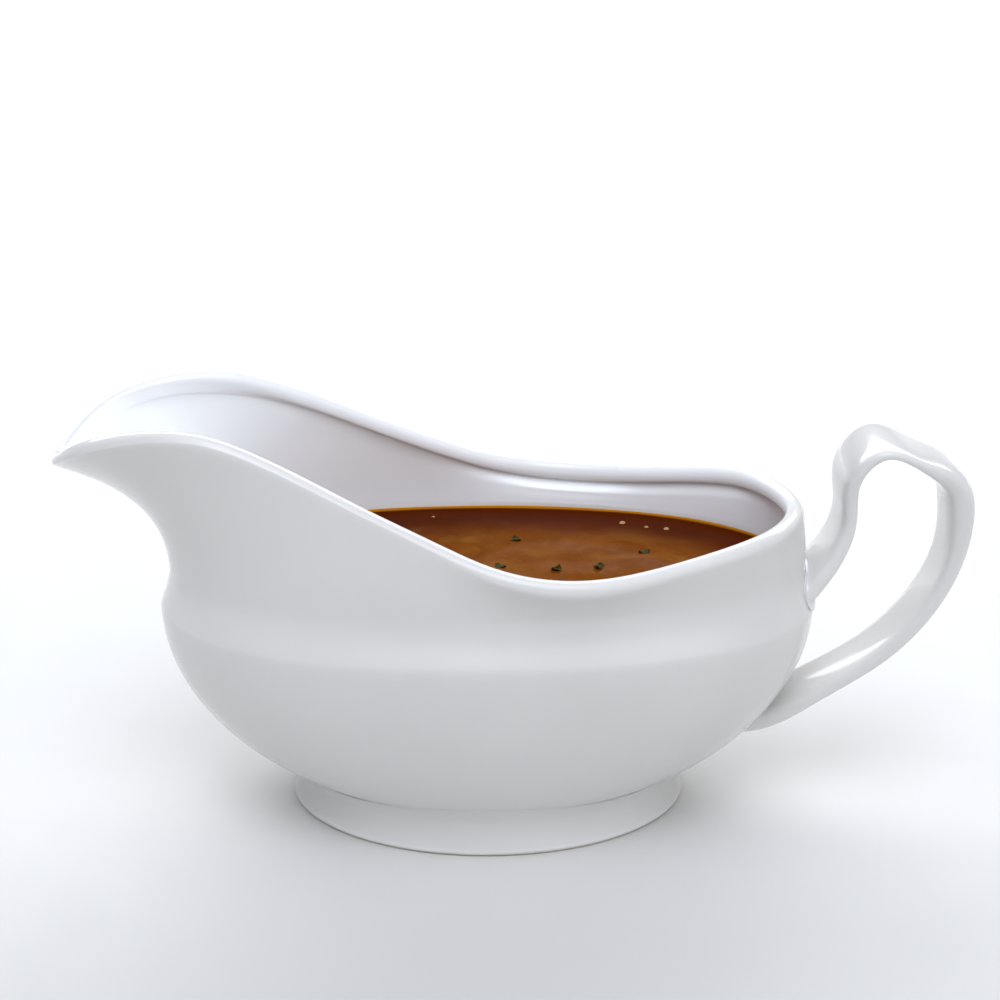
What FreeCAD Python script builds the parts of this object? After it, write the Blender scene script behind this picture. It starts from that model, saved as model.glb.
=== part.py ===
import FreeCAD, Part

# Gravy boat: a footed white porcelain sauce boat with a rising spout, a rolled lip and a strap
# handle, part filled with gravy.  X runs along the boat with the spout at -X and the handle at +X,
# Z is up, and the origin is the centre of the face that the foot rests on.  Sizes in millimetres.

import math
import os

import Sketcher

from FreeCAD import Placement, Rotation, Vector

SIZES = [
    # alias, value, what it is
    ("foot_half_length", 48.9, "junction oval of foot and bowl, along the boat"),
    ("foot_half_width", 35.4, "junction oval of foot and bowl, across the boat"),
    ("foot_height", 11.0, "height of that junction"),
    ("foot_thickness", 4.6, "wall of the foot ring"),
    ("foot_splay", 0.5, "how far the foot spreads past the junction"),
    ("foot_lean", 1.2, "how far its inner side leans in at the top"),
    ("foot_hollow_radius", 14.0, "hollow of its outer side"),
    ("foot_rounding", 1.2, "rounding beside the face that the foot rests on"),
    ("foot_grinding", 0.5, "clay ground off that face to make it flat"),
    ("ridge_half_length", 79.8, "widest line of the bowl, along"),
    ("ridge_half_width", 43.7, "widest line of the bowl, across"),
    ("ridge_height", 51.0, "height of the widest line"),
    ("neck_half_length", 77.3, "waist above the ridge, along"),
    ("neck_half_width", 39.4, "waist above the ridge, across"),
    ("neck_height", 62.3, "height of the waist"),
    ("bowl_fullness", 0.04, "how much squarer than an ellipse the bowl is"),
    ("wall", 3.5, "porcelain thickness"),
    ("lip_radius", 2.3, "rounding of the rolled lip"),
    ("tip_radius", 1.5, "the same at the tip of the spout"),
    ("lip_recess", 1.1, "step from the lip back to the inside wall"),
    ("floor_half_length", 34.0, "flat floor inside, along"),
    ("floor_half_width", 21.0, "flat floor inside, across"),
    ("strap_fullness", 0.3, "how much squarer than an ellipse the handle's section is"),
    ("slip_spread", 1.5, "how far the luting slip spreads round a root of the handle"),
    ("slip_rise", 1.3, "how far it stands off the bowl"),
    ("gravy_level", 61.0, "height of the gravy's surface"),
    ("fleck_length", 2.4, "a fleck of chopped herb"),
    ("fleck_width", 1.3, "a fleck of chopped herb"),
    ("fleck_thickness", 0.4, "a fleck of chopped herb"),
    ("bead_radius", 0.8, "a bead of fat"),
]

OUTLINES = {
    # top of the lip on one side, from the spout's tip to the back: along, across, up
    "rim": [
        (-102.2, 0.0, 89.9),
        (-98.6, 9.9, 93.7),
        (-86.3, 19.9, 100.8),
        (-71.4, 23.4, 103.0),
        (-53.3, 27.1, 99.2),
        (-25.8, 33.1, 86.9),
        (-11.5, 35.9, 80.6),
        (2.7, 39.0, 75.3),
        (16.5, 39.8, 73.1),
        (41.3, 33.2, 74.1),
        (60.2, 24.9, 76.7),
        (71.4, 11.1, 77.4),
        (74.0, 0.0, 77.3),
    ],
    # middle of the strap from its upper to its lower root: along, up, half width, thickness
    "strap": [
        (74.9, 52.9, 10.5, 5.6),
        (79.6, 58.6, 9.8, 5.0),
        (84.3, 66.2, 9.0, 4.5),
        (86.4, 75.0, 8.7, 4.3),
        (86.4, 84.8, 10.2, 4.6),
        (93.0, 91.9, 11.2, 3.5),
        (102.8, 88.7, 10.4, 3.8),
        (111.4, 82.6, 9.4, 6.8),
        (113.2, 75.0, 9.0, 6.8),
        (112.2, 63.0, 8.4, 5.2),
        (106.8, 50.6, 8.0, 4.8),
        (95.6, 37.8, 7.8, 4.8),
        (81.0, 28.0, 8.0, 5.2),
        (65.8, 20.6, 8.6, 5.8),
        (57.5, 20.2, 8.6, 5.2),
    ],
    # flecks of herb on the gravy: along, across, turn in degrees
    "flecks": [
        (4.4, -3.2, 130.0),
        (15.5, -5.6, 10.0),
        (26.9, -4.6, 60.0),
        (-30.0, 12.0, 20.0),
        (-16.0, -9.5, 75.0),
        (8.0, 13.5, 100.0),
        (40.0, 6.0, 160.0),
        (-44.0, -3.0, 40.0),
        (20.0, -21.0, 85.0),
        (-5.0, -22.0, 30.0),
    ],
    # beads of fat, most of them along the far wall: along, across, share of the full size
    "beads": [
        (34.7, 25.6, 1.0),
        (40.6, 22.6, 0.7),
        (45.6, 21.4, 0.85),
        (-14.0, 30.2, 0.6),
        (-47.0, 15.0, 0.8),
        (56.5, -11.0, 0.8),
        (-28.0, -24.0, 0.7),
    ],
}

DIRECTIONS = 48           # spline poles round the bowl
LOWER_STEPS = 8           # spans up the lower bowl
UPPER_STEPS = 5           # spans over the shoulder, and up the flared wall
FLOOR_STEPS = 3           # spans over the curve down to the flat floor
SECTION_POINTS = 24       # spline poles round the handle's strap
STRAP_STEPS = 44          # spans along the handle's strap
PLUG_FLOOR = 0.9          # shares by which the filled bowl's plain floor and lid draw in
PLUG_LID = (0.8, 0.6)
UP = Vector(0, 0, 1)


class Sheet:
    """The spreadsheet of driving dimensions, readable as plain attributes."""

    def __init__(self, document):
        self.cells = document.addObject("Spreadsheet::Sheet", "Sizes")
        self.row = 0
        for alias, value, meaning in SIZES:
            self.add(alias, value, meaning)
        for outline, points in OUTLINES.items():
            for number, point in enumerate(points, 1):
                for axis, value in zip("abcd", point):
                    self.add(f"{outline}_{number}_{axis}", value, f"outline of the {outline}")
        document.recompute()

    def add(self, alias, value, meaning):
        self.row += 1
        self.cells.set(f"A{self.row}", meaning)
        self.cells.set(f"B{self.row}", str(value))
        self.cells.setAlias(f"B{self.row}", alias)

    def __getattr__(self, alias):
        return float(self.cells.get(alias))

    def outline(self, name):
        points = OUTLINES[name]
        return [tuple(getattr(self, f"{name}_{number}_{axis}") for axis in "abcd"[:len(point)])
                for number, point in enumerate(points, 1)]


def bezier(points, share):
    """Point of a Bezier curve, by repeated blending."""
    while len(points) > 1:
        points = [a + (b - a) * share for a, b in zip(points, points[1:])]
    return points[0]


def part_way(low, high, across, up):
    """Point between low and high, by different shares across and up."""
    step = high - low
    return low + Vector(step.x * across, step.y * across, step.z * up)


def smooth_step(value, start, end):
    """0 at start, 1 at end, with no kink."""
    share = min(1.0, max(0.0, (value - start) / (end - start)))
    return share * share * (3 - 2 * share)


def oval(half_length, half_width, fullness, height, angle):
    """Point of a level oval; angle 0 faces the spout."""
    swell_x = 1 + fullness * math.sin(angle) ** 2
    swell_y = 1 + fullness * math.cos(angle) ** 2
    return Vector(-half_length * math.cos(angle) * swell_x, half_width * math.sin(angle) * swell_y, height)


def directions():
    """Angles round the bowl, each a direction as seen from above."""
    return [2 * math.pi * k / DIRECTIONS - math.pi for k in range(DIRECTIONS)]


def skin(rings):
    """Smooth closed solid through rings of points; the first and last ring are flat and capped.

    A uniform cubic spline passes through its points once each pole is pushed out by a sixth of
    the points' second difference, first round the rings and then from ring to ring.
    """
    around = len(rings[0])
    grid = [[here - (ring[k - 1] - here * 2 + ring[(k + 1) % around]) / 6 for k, here in enumerate(ring)]
            for ring in rings]
    poles = [grid[0]]
    for below, level, above in zip(grid, grid[1:], grid[2:]):
        poles.append([here - (low - here * 2 + high) / 6 for low, here, high in zip(below, level, above)])
    poles.append(grid[-1])
    spans = len(rings) - 3
    surface = Part.BSplineSurface()
    surface.buildFromPolesMultsKnots(
        [[level[k] for level in poles] for k in range(around)],
        [1] * (around + 1), [4] + [1] * (spans - 1) + [4],
        list(range(around + 1)), list(range(spans + 1)), True, False, 3, 3)
    caps = [Part.Face(Part.Wire([surface.vIso(end).toShape()])) for end in (0, spans)]
    shell = Part.Shell([surface.toShape()] + caps)
    shell.sewShape()
    solid = Part.Solid(Part.Shell(shell.Faces))
    if solid.Volume < 0:
        solid.reverse()
    return solid


class BowlShape:
    """A point of the bowl's outside or inside, for any direction and station.

    Stations on the outside run 0 to 1 from the foot to the ridge, 1 to 2 over the shoulder to
    the neck, and 2 to 3 up the flared wall to the lip.
    """

    LOWER_SWELL = ((0.47, 0.12), (1.0, 0.53))      # shares across and up of the lower bowl's curve
    SHOULDER_PULL = (3.0, 5.0)                     # how upright the shoulder leaves ridge and neck
    FLARE_RISE = (0.4, 0.7)                        # how high the wall stays upright: waist, spout
    FLARE_RUN = 27.0                               # overhang that counts as full spout
    TIP_ZONE = (-103.0, -90.0)                     # X where the lip grows from the tip's radius
    RECESS_ZONE = (-70.0, -45.0)                   # X where the lip's inner step fades in
    BEAD = ((0.0, 0.35), (0.1, 0.65), (0.55, 0.85), (1.0, 1.1))    # inner step: recess, drop
    LIP_BAND = 4.2                                 # wall covered by the lip
    LIP_STEPS = 6
    WALL_END = 2 / LOWER_STEPS                     # station where the inside leaves the wall for the floor
    FLOOR_PULL = 0.7                               # how far out the floor's curve reaches

    def __init__(self, size):
        self.size = size
        rim = size.outline("rim")
        mirrored = 4
        points = [Vector(x, -y, z) for x, y, z in rim[mirrored:0:-1]]
        points += [Vector(x, y, z) for x, y, z in rim]
        points += [Vector(x, -y, z) for x, y, z in rim[-2:-2 - mirrored:-1]]
        angles = [math.atan2(p.y / size.neck_half_width, -p.x / size.neck_half_length) for p in points]
        angles[-mirrored:] = [angle + 2 * math.pi for angle in angles[-mirrored:]]
        self.rim = Part.BSplineCurve()
        self.rim.interpolate(Points=points, Parameters=angles)

    def crest(self, angle):
        """Top of the lip."""
        crest = self.rim.value(abs(angle))
        return Vector(crest.x, math.copysign(crest.y, angle), crest.z)

    def outward(self, angle):
        """Level direction square to the rim."""
        along = self.rim.tangent(abs(angle))[0]
        return Vector(-along.y, along.x * math.copysign(1, angle), 0).normalize()

    def lip_radius(self, angle):
        size = self.size
        grown = smooth_step(self.crest(angle).x, *self.TIP_ZONE)
        return size.tip_radius + (size.lip_radius - size.tip_radius) * grown

    def foot(self, angle):
        size = self.size
        return oval(size.foot_half_length, size.foot_half_width, 0.0, size.foot_height, angle)

    def ridge(self, angle):
        size = self.size
        return oval(size.ridge_half_length, size.ridge_half_width, size.bowl_fullness, size.ridge_height, angle)

    def neck(self, angle):
        size = self.size
        return oval(size.neck_half_length, size.neck_half_width, size.bowl_fullness, size.neck_height, angle)

    def flare(self, angle):
        """Upper wall: its lower end, its bend, its upper end on the lip, and its slope there."""
        neck = self.neck(angle)
        radius = self.lip_radius(angle)
        centre = self.crest(angle) - UP * radius
        outward = self.outward(angle)
        run = math.hypot(centre.x - neck.x, centre.y - neck.y)
        low, high = self.FLARE_RISE
        share = low + (high - low) * min(1.0, run / self.FLARE_RUN)
        bend = neck + UP * (centre.z - neck.z) * share
        reach_out = (centre - bend).dot(outward)
        reach_up = centre.z - bend.z
        slope = math.atan2(reach_up, reach_out) - math.asin(radius / math.hypot(reach_out, reach_up))
        edge = centre + (outward * math.sin(slope) - UP * math.cos(slope)) * radius
        return neck, bend, edge, slope

    def outside(self, angle, station):
        if station < 1:
            foot, ridge = self.foot(angle), self.ridge(angle)
            swell = [part_way(foot, ridge, across, up) for across, up in self.LOWER_SWELL]
            return bezier([foot, *swell, ridge], station)
        if station < 2:
            ridge, neck = self.ridge(angle), self.neck(angle)
            low_pull, high_pull = self.SHOULDER_PULL
            return bezier([ridge, ridge + UP * low_pull, neck - UP * high_pull, neck], station - 1)
        return bezier(self.flare(angle)[:3], station - 2)

    def beneath(self, angle, station, depth):
        """Outside point moved square to the surface by depth into the wall."""
        nudge = 0.002
        around = self.outside(angle + nudge, station) - self.outside(angle - nudge, station)
        up = self.outside(angle, station + nudge) - self.outside(angle, station - nudge)
        return self.outside(angle, station) + around.cross(up).normalize() * depth

    def inside(self, angle, station):
        return self.beneath(angle, station, self.size.wall)

    def wall_top(self, angle):
        """Station where the inside wall meets the lip."""
        neck, bend, edge = self.flare(angle)[:3]
        return 3 - self.LIP_BAND / ((bend - neck).Length + (edge - bend).Length)

    def lip(self, angle):
        """Points over the rolled lip, from the outside wall to the top of the inside wall."""
        slope = self.flare(angle)[3]
        radius = self.lip_radius(angle)
        outward = self.outward(angle)
        centre = self.crest(angle) - UP * radius
        crispness = smooth_step(centre.x, *self.RECESS_ZONE)
        soft_end = slope + math.pi / 2
        start, end = slope - math.pi / 2, soft_end + (math.pi - soft_end) * crispness
        turns = [start + (end - start) * k / self.LIP_STEPS for k in range(self.LIP_STEPS + 1)]
        points = [centre + (outward * math.cos(turn) + UP * math.sin(turn)) * radius for turn in turns]
        last, top = points[-1], self.inside(angle, self.wall_top(angle))
        for k, (recess, drop) in enumerate(self.BEAD, 1):
            crisp = centre - outward * (radius - recess * self.size.lip_recess) - UP * drop * radius
            soft = last + (top - last) * k / (len(self.BEAD) + 1)
            points.append(soft + (crisp - soft) * crispness)
        return points + [top]

    def floor(self, angle, wall_end):
        """Points from the inside wall's end to the edge of the flat floor."""
        size = self.size
        level = oval(size.floor_half_length, size.floor_half_width, 0.0, size.foot_height + size.wall, angle)
        corner = level + Vector(wall_end.x - level.x, wall_end.y - level.y, 0) * self.FLOOR_PULL
        return [bezier([wall_end, corner, level], k / FLOOR_STEPS) for k in range(1, FLOOR_STEPS + 1)]

    def lining(self, angle):
        """The inside in one direction, from under the lip down to the edge of the floor."""
        stations = []
        for start, end, steps in ((self.wall_top(angle), 2, UPPER_STEPS), (2, 1, UPPER_STEPS),
                                  (1, self.WALL_END, LOWER_STEPS - 2)):
            stations += [start + (end - start) * k / steps for k in range(1, steps + 1)]
        wall = [self.inside(angle, station) for station in stations]
        return wall + self.floor(angle, wall[-1])

    def section(self, angle):
        """The whole wall in one direction: up the outside, over the lip, down to the floor."""
        stations = [k / LOWER_STEPS for k in range(LOWER_STEPS)]
        stations += [1 + k / UPPER_STEPS for k in range(2 * UPPER_STEPS)]
        return [self.outside(angle, station) for station in stations] + self.lip(angle) + self.lining(angle)


def add_feature(document, name, shape):
    feature = document.addObject("Part::Feature", name)
    feature.Shape = shape
    feature.Placement = Placement()
    return feature


def build_bowl(document, shape):
    rings = zip(*[shape.section(angle) for angle in directions()])
    return add_feature(document, "bowl", skin([list(ring) for ring in rings]))


def origin_plane(body, role):
    return next(item for item in body.Origin.OriginFeatures if item.Role == role)


def add_sketch(body, name, role):
    sketch = body.newObject("Sketcher::SketchObject", name)
    sketch.AttachmentSupport = [(origin_plane(body, role), "")]
    sketch.MapMode = "FlatFace"
    return sketch


class Length:
    """A length worked out from the sheet, both as a number and as the expression that gives it."""

    def __init__(self, value, expression):
        self.value = value
        self.expression = expression

    def __add__(self, other):
        return Length(self.value + other.value, f"{self.expression} + {other.expression}")

    def __sub__(self, other):
        return Length(self.value - other.value, f"{self.expression} - ({other.expression})")


def constrain(sketch, *constraint, length):
    """Add a dimension to a sketch that follows the sheet."""
    number = sketch.addConstraint(Sketcher.Constraint(*constraint, length.value))
    sketch.setExpression(f"Constraints[{number}]", length.expression)


def arc_over(start, end, radius, hollow):
    """Arc from start to end, bulging to the left of the way from one to the other, or hollow."""
    chord = end - start
    rise = radius - math.sqrt(radius ** 2 - chord.Length ** 2 / 4)
    side = Vector(chord.y, -chord.x, 0).normalize() * (rise if hollow else -rise)
    return Part.Arc(start, (start + end) * 0.5 + side, end)


def draw_section(sketch, corners):
    """Closed outline of lines and arcs; each corner gives its place and the arc to the next one."""
    places = [Vector(along.value, up.value, 0) for along, up, radius, hollow in corners]
    first_end = []                             # FreeCAD turns some arcs round, so their first end is 2
    for k, (along, up, radius, hollow) in enumerate(corners):
        start, end = places[k], places[(k + 1) % len(places)]
        edge = arc_over(start, end, radius.value, hollow) if radius else Part.LineSegment(start, end)
        sketch.addGeometry(edge, False)
        first_end.append(1 if hollow or not radius else 2)
    for k, (along, up, radius, hollow) in enumerate(corners):
        before = (k - 1) % len(corners)
        sketch.addConstraint(Sketcher.Constraint("Coincident", k, first_end[k], before, 3 - first_end[before]))
        constrain(sketch, "DistanceX", -1, 1, k, first_end[k], length=along)
        if up.value:
            constrain(sketch, "DistanceY", -1, 1, k, first_end[k], length=up)
        else:
            sketch.addConstraint(Sketcher.Constraint("PointOnObject", k, first_end[k], -1))
        if radius:
            constrain(sketch, "Radius", k, length=radius)


def build_foot_ring(document, size):
    """Ring swept round the oval where the foot meets the bowl, its lower face ground flat."""
    def sheet(alias):
        return Length(getattr(size, alias), f"Sizes.{alias}")

    body = document.addObject("PartDesign::Body", "foot_ring")
    half_length, half_width, height = (sheet(f"foot_{side}") for side in ("half_length", "half_width", "height"))
    path = add_sketch(body, "foot_path", "XY_Plane")
    path.setExpression("AttachmentOffset.Base.z", height.expression)
    oval_edge = Part.Ellipse(Vector(half_length.value, 0, 0), Vector(0, half_width.value, 0), Vector(0, 0, 0))
    path.addGeometry(oval_edge, False)
    path.exposeInternalGeometry(0)
    path.addConstraint(Sketcher.Constraint("Coincident", 0, 3, -1, 1))
    path.addConstraint(Sketcher.Constraint("Horizontal", 1))
    for axis, half in ((1, half_length), (2, half_width)):
        constrain(path, "Distance", axis, length=half + half)

    rounding, hollow_radius = sheet("foot_rounding"), sheet("foot_hollow_radius")
    zero = rounding - rounding
    below = zero - sheet("foot_grinding")
    outer = half_length + sheet("foot_splay")
    inner = outer - sheet("foot_thickness")
    profile = add_sketch(body, "foot_section", "XZ_Plane")
    draw_section(profile, [
        # along, up, radius of the arc to the next corner, whether that arc is hollow
        (half_length, height, hollow_radius, True),
        (outer, rounding, rounding, False),
        (outer - rounding, zero, None, False),
        (outer - rounding, below, None, False),
        (inner + rounding, below, None, False),
        (inner + rounding, zero, rounding, False),
        (inner, rounding, None, False),
        (inner - sheet("foot_lean"), height, None, False),
    ])
    ring = body.newObject("PartDesign::AdditivePipe", "foot_sweep")
    ring.Profile = profile
    ring.Spine = path
    document.recompute()

    wheel = add_sketch(body, "grinding_wheel", "XY_Plane")
    reach = outer + sheet("foot_grinding")
    wheel.addGeometry(Part.Circle(Vector(0, 0, 0), UP, reach.value), False)
    wheel.addConstraint(Sketcher.Constraint("Coincident", 0, 3, -1, 1))
    constrain(wheel, "Radius", 0, length=reach)
    ground = body.newObject("PartDesign::Pocket", "ground_face")
    ground.Profile = wheel
    ground.setExpression("Length", "Sizes.foot_grinding * 2")
    document.recompute()
    if ground.Shape.Volume >= ring.Shape.Volume:
        raise RuntimeError("the foot's lower face was not ground")
    return body


class StrapShape:
    """The handle's strap: a flattened section carried along a curve in the boat's middle plane."""

    def __init__(self, size):
        self.fullness = size.strap_fullness
        stations = size.outline("strap")
        self.middle = Part.BSplineCurve()
        self.middle.interpolate([Vector(along, 0, up) for along, up, half_width, thickness in stations])
        places = [self.middle.parameter(Vector(along, 0, up)) for along, up, half_width, thickness in stations]
        self.girth = Part.BSplineCurve()
        self.girth.interpolate(Points=[Vector(half_width, thickness / 2, 0) for _, _, half_width, thickness
                                       in stations], Parameters=places)
        self.start, self.end = places[0], places[-1]

    def ring(self, share, growth):
        """Section at a share of the way along, grown on all sides."""
        place = self.start + (self.end - self.start) * share
        centre, along, girth = self.middle.value(place), self.middle.tangent(place)[0], self.girth.value(place)
        out = Vector(-along.z, 0, along.x)
        points = []
        for k in range(SECTION_POINTS):
            flat = oval(girth.x + growth, girth.y + growth, self.fullness, 0, 2 * math.pi * k / SECTION_POINTS)
            points.append(centre + Vector(0, flat.x, 0) + out * flat.y)
        return points

    def solid(self, growth=0.0):
        return skin([self.ring(k / STRAP_STEPS, growth) for k in range(STRAP_STEPS + 1)])


def level_ring(ring, height, share):
    """Flat ring at one height, shrunk towards the middle."""
    return [Vector(point.x * share, point.y * share, height) for point in ring]


def bowl_plug(shape, growth=0.0):
    """Solid filled to the bowl's outside, or beyond it by growth, with a plain floor and lid."""
    stations = [k / LOWER_STEPS for k in range(1, LOWER_STEPS)]
    stations += [1 + k / UPPER_STEPS for k in range(2 * UPPER_STEPS - 1)]
    rings = [[shape.beneath(angle, station, -growth) for angle in directions()] for station in stations]
    floor, lid = shape.size.foot_height, max(point.z for point in rings[-1]) + shape.size.lip_radius
    return skin([level_ring(rings[0], floor, PLUG_FLOOR), *rings,
                 *[level_ring(rings[-1], lid, share) for share in PLUG_LID]])


def build_handle_group(document, shape, strap_shape):
    """The strap cut to the bowl, and the luting slip round each of its roots."""
    size = shape.size
    strap, plug = strap_shape.solid(), bowl_plug(shape)
    handle = max(strap.cut(plug).Solids, key=lambda solid: solid.Volume)
    add_feature(document, "handle", handle)
    collar = strap_shape.solid(size.slip_spread).common(bowl_plug(shape, size.slip_rise))
    roots = sorted(collar.cut(plug).cut(strap).Solids, key=lambda solid: solid.CenterOfMass.z)
    add_feature(document, "lower_slip_joint", roots[0])
    add_feature(document, "upper_slip_joint", roots[-1])


def build_gravy(document, shape):
    """What fills the inside of the bowl up to the gravy's level."""
    size = shape.size
    rings = [list(ring) for ring in zip(*[shape.lining(angle) for angle in directions()])]
    lid = max(point.z for point in rings[0]) + size.wall
    cavity = skin([level_ring(rings[0], lid, 1.0)] + rings)
    reach, breadth = size.ridge_half_length, size.ridge_half_width
    block = Part.makeBox(reach * 2, breadth * 2, size.gravy_level, Vector(-reach, -breadth, 0))
    add_feature(document, "gravy", cavity.common(block).Solids[0])


def build_flecks(document):
    """Chopped herb lying on the gravy."""
    flecks = []
    for number, (*_, turn) in enumerate(OUTLINES["flecks"], 1):
        fleck = document.addObject("Part::Box", f"fleck_{number}")
        for side, alias in (("Length", "fleck_length"), ("Width", "fleck_width"), ("Height", "fleck_thickness")):
            fleck.setExpression(side, f"Sizes.{alias}")
        fleck.Placement = Placement(Vector(0, 0, 0), Rotation(UP, turn))
        for axis, expression in zip("xyz", (f"Sizes.flecks_{number}_a", f"Sizes.flecks_{number}_b",
                                            "Sizes.gravy_level")):
            fleck.setExpression(f"Placement.Base.{axis}", expression)
        flecks.append(fleck)
    group = document.addObject("Part::Compound", "herb_flecks")
    group.Links = flecks


def build_beads(document):
    """Half-round beads of fat floating on the gravy."""
    beads = []
    for number in range(1, len(OUTLINES["beads"]) + 1):
        bead = document.addObject("Part::Sphere", f"bead_{number}")
        bead.Angle1 = 0
        bead.setExpression("Radius", f"Sizes.bead_radius * Sizes.beads_{number}_c")
        for axis, expression in zip("xyz", (f"Sizes.beads_{number}_a", f"Sizes.beads_{number}_b",
                                            "Sizes.gravy_level")):
            bead.setExpression(f"Placement.Base.{axis}", expression)
        beads.append(bead)
    group = document.addObject("Part::Compound", "fat_beads")
    group.Links = beads


NODES = ("bowl", "foot_ring", "handle", "upper_slip_joint", "lower_slip_joint", "gravy", "herb_flecks",
         "fat_beads")


def check_and_export(document):
    for item in document.Objects:
        if {"Invalid", "Error"} & set(item.State):
            raise RuntimeError(f"{item.Label} failed: {item.State}")
    os.makedirs("parts", exist_ok=True)
    for name in NODES:
        item = document.getObject(name)
        item.Label = name
        shape = item.Shape
        if shape.isNull() or not shape.isValid():
            raise RuntimeError(f"{name} has no valid shape")
        shape.exportStep(f"parts/{name}.step")
        print(f"{name:18} {len(shape.Solids)} solid(s), {shape.Volume / 1000:8.3f} cm3")


def main():
    document = FreeCAD.newDocument("gravy_boat")
    size = Sheet(document)
    shape = BowlShape(size)
    build_bowl(document, shape)
    build_foot_ring(document, size)
    build_handle_group(document, shape, StrapShape(size))
    build_gravy(document, shape)
    build_flecks(document)
    build_beads(document)
    document.recompute()
    check_and_export(document)


main()
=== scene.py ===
# Looks of a white glazed gravy boat that is part filled with gravy.  Shapes are worked out in
# millimetres, as on the drawing, and become metres when a mesh is made.  X runs along the boat
# with the spout at -X, Z is up, and the foot rests on z = 0.

import math

import bmesh
import bpy
import numpy as np
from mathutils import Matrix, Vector
from mathutils.bvhtree import BVHTree


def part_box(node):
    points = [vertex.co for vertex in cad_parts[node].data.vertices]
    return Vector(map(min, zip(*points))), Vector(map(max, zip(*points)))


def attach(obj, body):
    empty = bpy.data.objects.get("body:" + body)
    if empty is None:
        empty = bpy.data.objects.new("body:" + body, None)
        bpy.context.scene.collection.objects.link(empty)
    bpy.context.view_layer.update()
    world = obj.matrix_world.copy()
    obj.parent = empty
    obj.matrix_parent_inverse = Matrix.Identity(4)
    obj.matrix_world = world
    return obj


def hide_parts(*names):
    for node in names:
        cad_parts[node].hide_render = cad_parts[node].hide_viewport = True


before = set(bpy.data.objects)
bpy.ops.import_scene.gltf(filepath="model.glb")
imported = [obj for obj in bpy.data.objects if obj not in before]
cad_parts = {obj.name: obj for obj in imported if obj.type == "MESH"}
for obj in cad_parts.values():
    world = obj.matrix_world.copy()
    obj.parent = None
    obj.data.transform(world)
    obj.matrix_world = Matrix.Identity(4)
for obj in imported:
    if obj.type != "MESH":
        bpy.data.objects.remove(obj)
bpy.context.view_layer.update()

MM = 0.001

FOOT = dict(half_length=48.9, half_width=35.4, height=11.0, thickness=4.6, splay=0.5, lean=1.2,
            hollow_radius=14.0, rounding=1.2)
RIDGE = dict(half_length=79.8, half_width=43.7, height=51.0)
NECK = dict(half_length=77.3, half_width=39.4, height=62.3)
FULLNESS = 0.04                                # how much squarer than an ellipse ridge and neck are
WALL = 3.5
LIP_RADIUS, TIP_RADIUS, LIP_RECESS = 2.3, 1.5, 1.1
FLOOR = dict(half_length=34.0, half_width=21.0)
GRAVY_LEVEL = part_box("gravy")[1].z / MM

# top of the lip on one side, from the spout's tip to the back: along, across, up
RIM = [(-102.2, 0.0, 89.9), (-98.6, 9.9, 93.7), (-86.3, 19.9, 100.8), (-71.4, 23.4, 103.0),
       (-53.3, 27.1, 99.2), (-25.8, 33.1, 86.9), (-11.5, 35.9, 80.6), (2.7, 39.0, 75.3),
       (16.5, 39.8, 73.1), (41.3, 33.2, 74.1), (60.2, 24.9, 76.7), (71.4, 11.1, 77.4),
       (74.0, 0.0, 77.3)]

# middle of the handle's strap from its upper to its lower root: along, up, half width, thickness
STRAP = [(74.9, 52.9, 10.5, 5.6), (79.6, 58.6, 9.8, 5.0), (84.3, 66.2, 9.0, 4.5),
         (86.4, 75.0, 8.7, 4.3), (86.4, 84.8, 10.2, 4.6), (93.0, 91.9, 11.2, 3.5),
         (102.8, 88.7, 10.4, 3.8), (111.4, 82.6, 9.4, 6.8), (113.2, 75.0, 9.0, 6.8),
         (112.2, 63.0, 8.4, 5.2), (106.8, 50.6, 8.0, 4.8), (95.6, 37.8, 7.8, 4.8),
         (81.0, 28.0, 8.0, 5.2), (65.8, 20.6, 8.6, 5.8), (57.5, 20.2, 8.6, 5.2)]
STRAP_FULLNESS = 0.3

DIRECTIONS = 48                                # sections round the bowl
FINE_AROUND = 7                                # mesh columns per section
FINE_ALONG = 4                                 # mesh rows per station
SHARP_CORNER = math.radians(48)
SHARPEST_RADIUS = 0.003                        # metres; a bend this tight counts as fully hollow
UP = np.array([0.0, 0.0, 1.0])


# ---------------------------------------------------------------- curves and surfaces

def bezier(points, share):
    """Point of a Bezier curve, by repeated blending; share may differ from point to point."""
    share = np.asarray(share)[..., None]
    while len(points) > 1:
        points = [a + (b - a) * share for a, b in zip(points, points[1:])]
    return points[0]


def smooth_step(value, start, end):
    """0 at start, 1 at end, with no kink."""
    share = np.clip((value - start) / (end - start), 0, 1)
    return share * share * (3 - 2 * share)


def unit(vectors):
    return vectors / np.linalg.norm(vectors, axis=-1, keepdims=True)


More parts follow.
